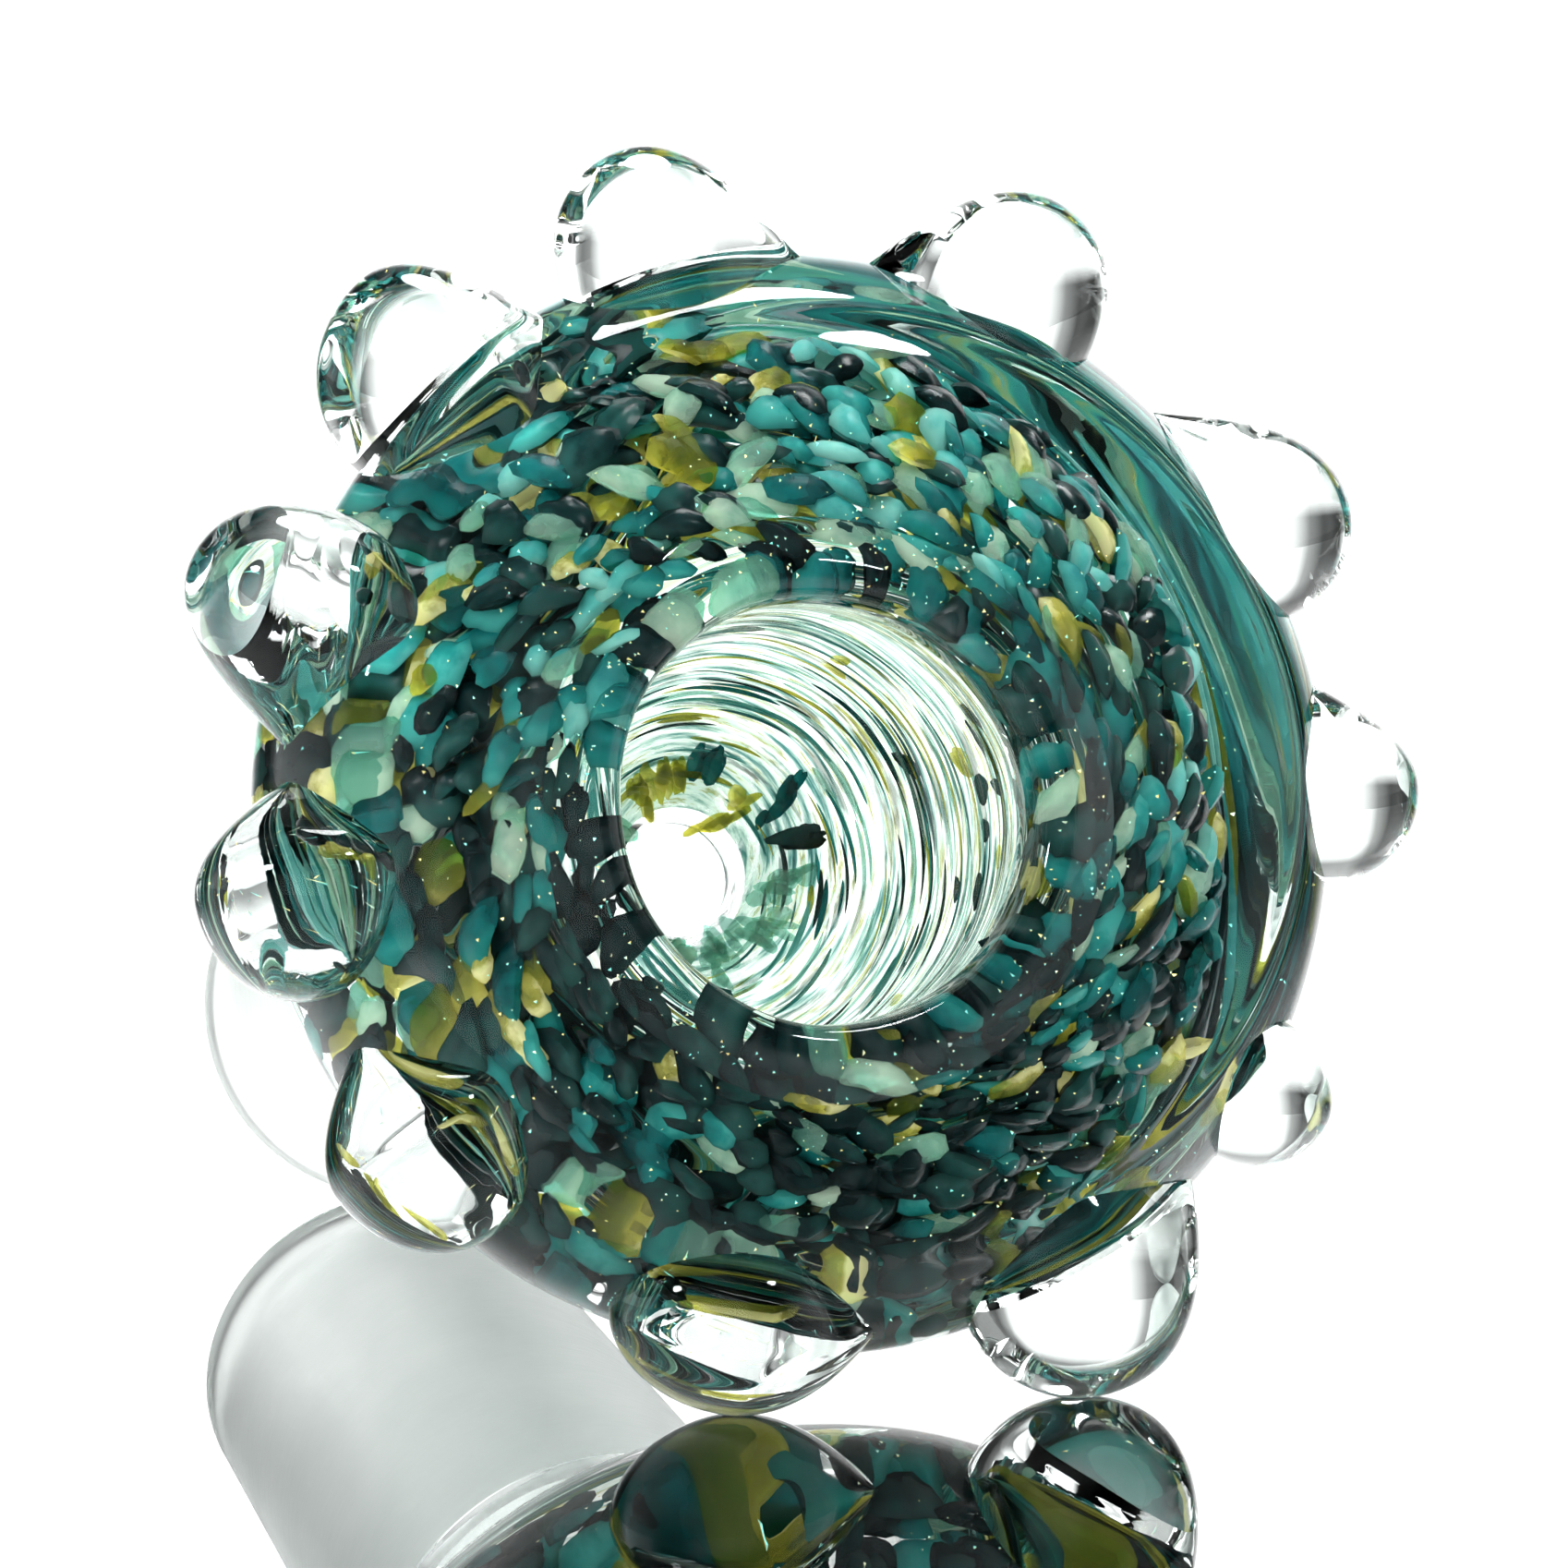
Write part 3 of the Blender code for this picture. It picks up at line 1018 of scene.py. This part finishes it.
def frosted_glass():
    """Ground glass: satin, a little cloudy, with fine rings of grinding."""
    made, tree = node_material("frosted")
    cloud = noise_at(tree, 260.0, 5.0)
    grain, _ = streaks(tree, 6.0, 9.0, 2.0, detail=2.0)
    bump = node(tree, "Bump", {"Strength": 0.25, "Distance": 0.00003, "Height": grain})
    show(tree, node(tree, "BsdfPrincipled", {
        "Base Color": ramp(tree, cloud, [(0.3, (0.62, 0.67, 0.65)), (0.7, (0.73, 0.77, 0.75))]),
        "Roughness": maths(tree, "MULTIPLY_ADD", grain, 0.25, 0.42),
        "Normal": bump.outputs["Normal"],
        "IOR": GLASS_IOR,
        "Specular Tint": (0.5, 0.5, 0.5, 1.0),
        "Transmission Weight": 1.0,
    }))
    return made


def chip_glass(name, stops, through, share, glow=0.0):
    """Coloured glass: part solid colour and part light let through in its own tint. Each chip has
    its own shade, a finer mottling within it, and a thin edge that lets more light through. That
    edge is also painted lighter, and one end of each chip is painted lighter than the other: painted
    light shining through the chip. A glow stands in for the light that shines through the glass from
    behind."""
    made, tree = node_material(name)
    edge = maths(tree, "POWER", attribute(tree, "rim"), 3.0)
    grains = maths(tree, "SUBTRACT", noise_at(tree, 1300.0), 0.5)
    shade = maths(tree, "ADD", island(tree), maths(tree, "MULTIPLY", grains, 1.1))
    # Painted light: the thin edge is also painted lighter, as light shining through it.
    shade = maths(tree, "MULTIPLY_ADD", edge, 0.2, shade)
    # Painted light: one end of each chip is lighter than the other, as light shining through it.
    shade = maths(tree, "MULTIPLY_ADD", attribute(tree, "end"), 0.32, shade)
    hue = ramp(tree, shade, stops)
    values = {"Base Color": hue, "Roughness": 0.25, "Specular IOR Level": 0.12}
    if glow:
        values |= {"Emission Color": hue, "Emission Strength": glow}
    solid = node(tree, "BsdfPrincipled", values)
    thin = maths(tree, "MULTIPLY_ADD", edge, (1 - share) * 0.55, share)
    show_part_clear(tree, solid, thin, through)
    return made


def bowl_coordinates(tree):
    """(x, y, z) sockets in the bowl's own frame, in millimetres."""
    coordinates = tree.nodes.new("ShaderNodeTexCoord")
    mapping = tree.nodes.new("ShaderNodeMapping")
    mapping.vector_type = "TEXTURE"
    feed(tree, mapping, {
        "Vector": coordinates.outputs["Object"],
        "Location": BOWL.translation,
        "Rotation": BOWL.to_euler("XYZ"),
        "Scale": (MM, MM, MM),
    })
    split = node(tree, "SeparateXYZ", {0: mapping.outputs["Vector"]})
    return split.outputs["X"], split.outputs["Y"], split.outputs["Z"]


def streaks(tree, round_scale, step_scale, seed, detail=4.0):
    """Noise drawn out round the bowl's axis, and the distance along its side. The noise is fine
    along the side and slow round it."""
    x, y, z = bowl_coordinates(tree)
    square = maths(tree, "ADD", *[maths(tree, "MULTIPLY", part, part) for part in (x, y)])
    radius = maths(tree, "SQRT", square)
    down = maths(tree, "MULTIPLY", z, SLANT[1])
    side = maths(tree, "MULTIPLY_ADD", radius, SLANT[0], down)
    cosine = maths(tree, "DIVIDE", x, radius)
    sine = maths(tree, "DIVIDE", y, radius)
    side = maths(tree, "MULTIPLY_ADD", sine, DRIFT, side)
    join = node(tree, "CombineXYZ", {
        "X": maths(tree, "MULTIPLY_ADD", cosine, round_scale, seed),
        "Y": maths(tree, "MULTIPLY", sine, round_scale),
        "Z": maths(tree, "MULTIPLY", side, step_scale),
    })
    values = {"Vector": join.outputs[0], "Scale": 1.0, "Detail": detail, "Roughness": 0.6}
    texture = node(tree, "TexNoise", values)
    return texture.outputs["Fac"], side


def swirl_finish():
    """Dark and turquoise streaks with some gold ones, which thin out towards the joint."""
    made, tree = node_material("swirl")
    colour, _ = streaks(tree, 0.6, 3.4, 0.0, detail=6.0)
    hues = [
        (0.30, (0.001, 0.006, 0.008)), (0.42, (0.004, 0.04, 0.045)), (0.50, (0.008, 0.11, 0.11)),
        (0.55, (0.01, 0.17, 0.12)), (0.585, (0.16, 0.18, 0.03)), (0.63, (0.02, 0.20, 0.20)),
        (0.70, (0.34, 0.46, 0.38)),
    ]
    solid = node(tree, "BsdfPrincipled", {
        "Base Color": ramp(tree, colour, hues),
        "Roughness": 0.3,
        "Specular IOR Level": 0.12,
    })
    gaps, side = streaks(tree, 1.6, 1.7, 7.3)
    ends = grey_ramp(tree, maths(tree, "DIVIDE", side, 16.0), SWIRL_FADE)
    gaps = maths(tree, "MULTIPLY_ADD", ends, 0.45, gaps)
    opening = grey_ramp(tree, gaps, [(0.50, 0), (0.60, 1)])
    show_part_clear(tree, solid, opening, (0.86, 0.93, 0.90))
    return made


def wall_finish():
    """Pale opal streaks, with painted shade that darkens and greens them towards the drain hole.
    Their glow stands in for the light that shines through the glass from behind."""
    made, tree = node_material("wall_sheet")
    colour, side = streaks(tree, 1.3, 4.2, 21.0, detail=6.0)
    hues = [
        (0.27, (0.01, 0.05, 0.05)), (0.37, (0.08, 0.26, 0.25)), (0.44, (0.46, 0.62, 0.58)),
        (0.49, (0.96, 0.99, 0.97)), (0.56, (1.0, 1.0, 0.98)), (0.60, (0.42, 0.40, 0.08)),
        (0.63, (0.62, 0.78, 0.72)), (0.70, (1.0, 1.0, 0.98)),
    ]
    # Painted shade: the streaks grow darker and greener towards the drain hole.
    hole_shade_stops = [(0.62, (1.0, 1.0, 1.0)), (0.86, (0.50, 0.62, 0.56))]
    depth = ramp(tree, maths(tree, "DIVIDE", side, 10.0), hole_shade_stops)
    shaded = multiplied(tree, ramp(tree, colour, hues), depth)
    solid = node(tree, "BsdfPrincipled", {
        "Base Color": shaded,
        "Roughness": 0.4,
        "Specular IOR Level": 0.1,
        "Emission Color": shaded,
        "Emission Strength": 0.88,
    })
    gaps, _ = streaks(tree, 1.9, 2.6, 33.0)
    opening = grey_ramp(tree, gaps, [(0.50, 0.10), (0.60, 0.75)])
    show_part_clear(tree, solid, opening, (0.95, 0.98, 0.96))
    return made


def glitter_finish():
    """Metal flakes from gold to turquoise, with a glow of painted glints that keeps them bright
    inside the glass.
    """
    made, tree = node_material("glitter")
    hues = [(0.35, (0.95, 0.80, 0.30)), (0.5, (0.85, 0.95, 0.70)), (0.65, (0.3, 0.95, 0.85))]
    hue = ramp(tree, island(tree), hues)
    show(tree, node(tree, "BsdfPrincipled", {
        "Base Color": hue,
        "Metallic": 1.0,
        "Roughness": 0.2,
        "Emission Color": hue,
        "Emission Strength": 0.7,
    }))
    return made


def chip_finishes():
    """The finish of each colour of chip, in the order that the chips are made."""
    teal = [
        (0.0, (0.001, 0.045, 0.05)), (0.4, (0.005, 0.14, 0.14)),
        (0.8, (0.015, 0.26, 0.24)), (1.0, (0.05, 0.38, 0.34)),
    ]
    turquoise = [(0.0, (0.02, 0.19, 0.19)), (0.5, (0.06, 0.36, 0.33)), (1.0, (0.20, 0.54, 0.47))]
    dark = [(0.0, (0.001, 0.008, 0.009)), (0.6, (0.002, 0.017, 0.018)), (1.0, (0.01, 0.055, 0.05))]
    pale = [(0.0, (0.08, 0.22, 0.17)), (0.5, (0.20, 0.38, 0.29)), (1.0, (0.50, 0.66, 0.50))]
    mist = [(0.0, (0.22, 0.36, 0.33)), (0.5, (0.45, 0.62, 0.56)), (1.0, (0.75, 0.85, 0.78))]
    gold = [
        (0.0, (0.03, 0.05, 0.008)), (0.45, (0.13, 0.15, 0.025)),
        (0.8, (0.40, 0.38, 0.09)), (1.0, (0.95, 0.92, 0.45)),
    ]
    return {
        "teal": chip_glass("chip_teal", teal, (0.01, 0.30, 0.33), 0.35),
        "turquoise": chip_glass("chip_turquoise", turquoise, (0.05, 0.6, 0.6), 0.25),
        "dark": chip_glass("chip_dark", dark, (0.004, 0.03, 0.045), 0.15),
        "pale": chip_glass("chip_pale", pale, (0.45, 0.8, 0.7), 0.5, glow=0.3),
        "mist": chip_glass("chip_mist", mist, (0.66, 0.86, 0.80), 0.72),
        "gold": chip_glass("chip_gold", gold, (0.80, 0.78, 0.26), 0.55, glow=0.5),
    }


# ---- stage, light and camera

FLOOR_HALF = 6.0
FLAG_STEP = math.radians(90)
FLAG_AT = math.radians(20)
# Added before the fraction of a step is taken, so that no azimuth gives a negative number.
WHOLE_STEPS = 12.0
FIRST_BOUNCE = 1.5

# Light: name, azimuth and elevation in degrees, distance and width in metres, power in watts.
LIGHTS = [
    ("key", -70, 35, 0.45, 0.07, 3.0),
    ("fill", 40, 50, 0.5, 0.06, 2.0),
    ("top", 150, 68, 0.55, 0.30, 9.0),
]

# The camera looks at a point a little beside and above the bowl's origin, in millimetres.
CAMERA_AZIMUTH = -19.5
CAMERA_ELEVATION = 7.9
CAMERA_DISTANCE = 0.535
CAMERA_LENS = 398.0
CAMERA_RIGHT = -0.4
CAMERA_UP = 1.23


def make_floor():
    """A pale glossy sheet: matt from above, and more of a mirror the lower it is looked at."""
    mesh = bpy.data.meshes.new("floor")
    corners = [(x * FLOOR_HALF, y * FLOOR_HALF, 0) for x, y in ((-1, -1), (1, -1), (1, 1), (-1, 1))]
    mesh.from_pydata(corners, [], [(0, 1, 2, 3)])
    floor = add_object("floor", mesh)
    made, tree = node_material("floor")
    matt = node(tree, "BsdfDiffuse", {"Color": (0.82, 0.82, 0.82, 1.0)})
    mirror = node(tree, "BsdfGlossy", {"Color": (0.6, 0.6, 0.6, 1.0), "Roughness": 0.0})
    weight = node(tree, "LayerWeight", {"Blend": 0.5})
    gloss = grey_ramp(tree, weight.outputs["Facing"], [(0.0, 0.04), (0.5, 0.10), (0.8, 1)])
    show(tree, mixed(tree, gloss, matt, mirror))
    mesh.materials.append(made)


def make_world():
    """A plain studio: a bright band near the horizon with dark flags in it, which repeat every 90
    degrees and give clear glass its edges, and a dim ceiling. The camera sees plain white
    instead, and so does the first glossy reflection, in the floor and on the glass."""
    world = bpy.data.worlds.new("studio")
    bpy.context.scene.world = world
    world.use_nodes = True
    tree = world.node_tree
    tree.nodes.clear()
    coordinates = tree.nodes.new("ShaderNodeTexCoord")
    split = node(tree, "SeparateXYZ", {0: coordinates.outputs["Generated"]})
    heights = [(0.0, 1), (0.30, 1), (0.52, 0.16), (1.0, 0.12)]
    band = grey_ramp(tree, split.outputs["Z"], heights)
    minus_y = maths(tree, "MULTIPLY", split.outputs["Y"], -1.0)
    azimuth = maths(tree, "ARCTAN2", split.outputs["X"], minus_y)
    turns = maths(tree, "DIVIDE", azimuth, FLAG_STEP)
    turns = maths(tree, "ADD", turns, WHOLE_STEPS - FLAG_AT / FLAG_STEP)
    phase = maths(tree, "FRACT", turns)
    away = maths(tree, "ABSOLUTE", maths(tree, "SUBTRACT", phase, 0.5))
    flags = grey_ramp(tree, away, [(0.0, 1), (0.20, 1), (0.31, 0.20), (0.40, 0.03)])
    sky = node(tree, "Background", {"Color": multiplied(tree, band, flags), "Strength": 2.4})
    plain = node(tree, "Background", {"Strength": 1.15})
    path = tree.nodes.new("ShaderNodeLightPath")
    once = maths(tree, "LESS_THAN", path.outputs["Ray Depth"], FIRST_BOUNCE)
    first_gloss = maths(tree, "MULTIPLY", path.outputs["Is Glossy Ray"], once)
    direct = maths(tree, "MAXIMUM", path.outputs["Is Camera Ray"], first_gloss)
    show(tree, mixed(tree, direct, sky, plain), "OutputWorld")


def towards(azimuth, elevation):
    """The way from the bowl to a place round it, at these angles in degrees."""
    azimuth, elevation = math.radians(azimuth), math.radians(elevation)
    level = math.cos(elevation)
    return Vector((math.sin(azimuth) * level, -math.cos(azimuth) * level, math.sin(elevation)))


def make_light(name, azimuth, elevation, distance, size, power):
    """A round soft light that points at the bowl."""
    data = bpy.data.lights.new(name, "AREA")
    data.shape = "DISK"
    data.size = size
    data.energy = power
    light = add_object(name, data)
    back = towards(azimuth, elevation)
    light.location = BOWL.translation + back * distance
    light.rotation_mode = "QUATERNION"
    light.rotation_quaternion = back.to_track_quat("Z", "Y")


def make_camera():
    """The camera at the photo's own angle, far off with a long lens."""
    back = towards(CAMERA_AZIMUTH, CAMERA_ELEVATION)
    data = bpy.data.cameras.new("camera")
    data.sensor_width = 36.0
    data.lens = CAMERA_LENS
    data.clip_start = 0.01
    camera = add_object("camera", data)
    azimuth = math.radians(CAMERA_AZIMUTH)
    right = Vector((math.cos(azimuth), math.sin(azimuth), 0))
    target = BOWL.translation + right * CAMERA_RIGHT * MM + Vector((0, 0, CAMERA_UP * MM))
    camera.location = target + back * CAMERA_DISTANCE
    camera.rotation_mode = "QUATERNION"
    camera.rotation_quaternion = (-back).to_track_quat("-Z", "Y")
    bpy.context.scene.camera = camera


def main():
    """Builds the bowl and its stage."""
    seam = seam_material()
    body = clear_glass("casing_glass", (0.97, 0.99, 0.985))
    knob = clear_glass("knob_glass", (0.90, 0.955, 0.935))
    core = clear_glass("core_glass", (0.97, 0.99, 0.985))
    pieces = make_casing_and_knobs([body, seam], [knob, seam])
    pieces += [make_core([core, seam]), make_lip([core, seam]), make_neck([core, seam])]
    pieces.append(make_joint([knob, seam, frosted_glass()]))
    pieces += make_chips(chip_finishes())
    for piece in pieces:
        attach(piece, "root")
    make_floor()
    make_world()
    for light in LIGHTS:
        make_light(*light)
    make_camera()
    scene = bpy.context.scene
    scene.view_settings.view_transform = "Standard"
    scene.cycles.max_bounces = 24
    scene.cycles.transmission_bounces = 24
    scene.cycles.transparent_max_bounces = 48
    scene.cycles.glossy_bounces = 8


main()
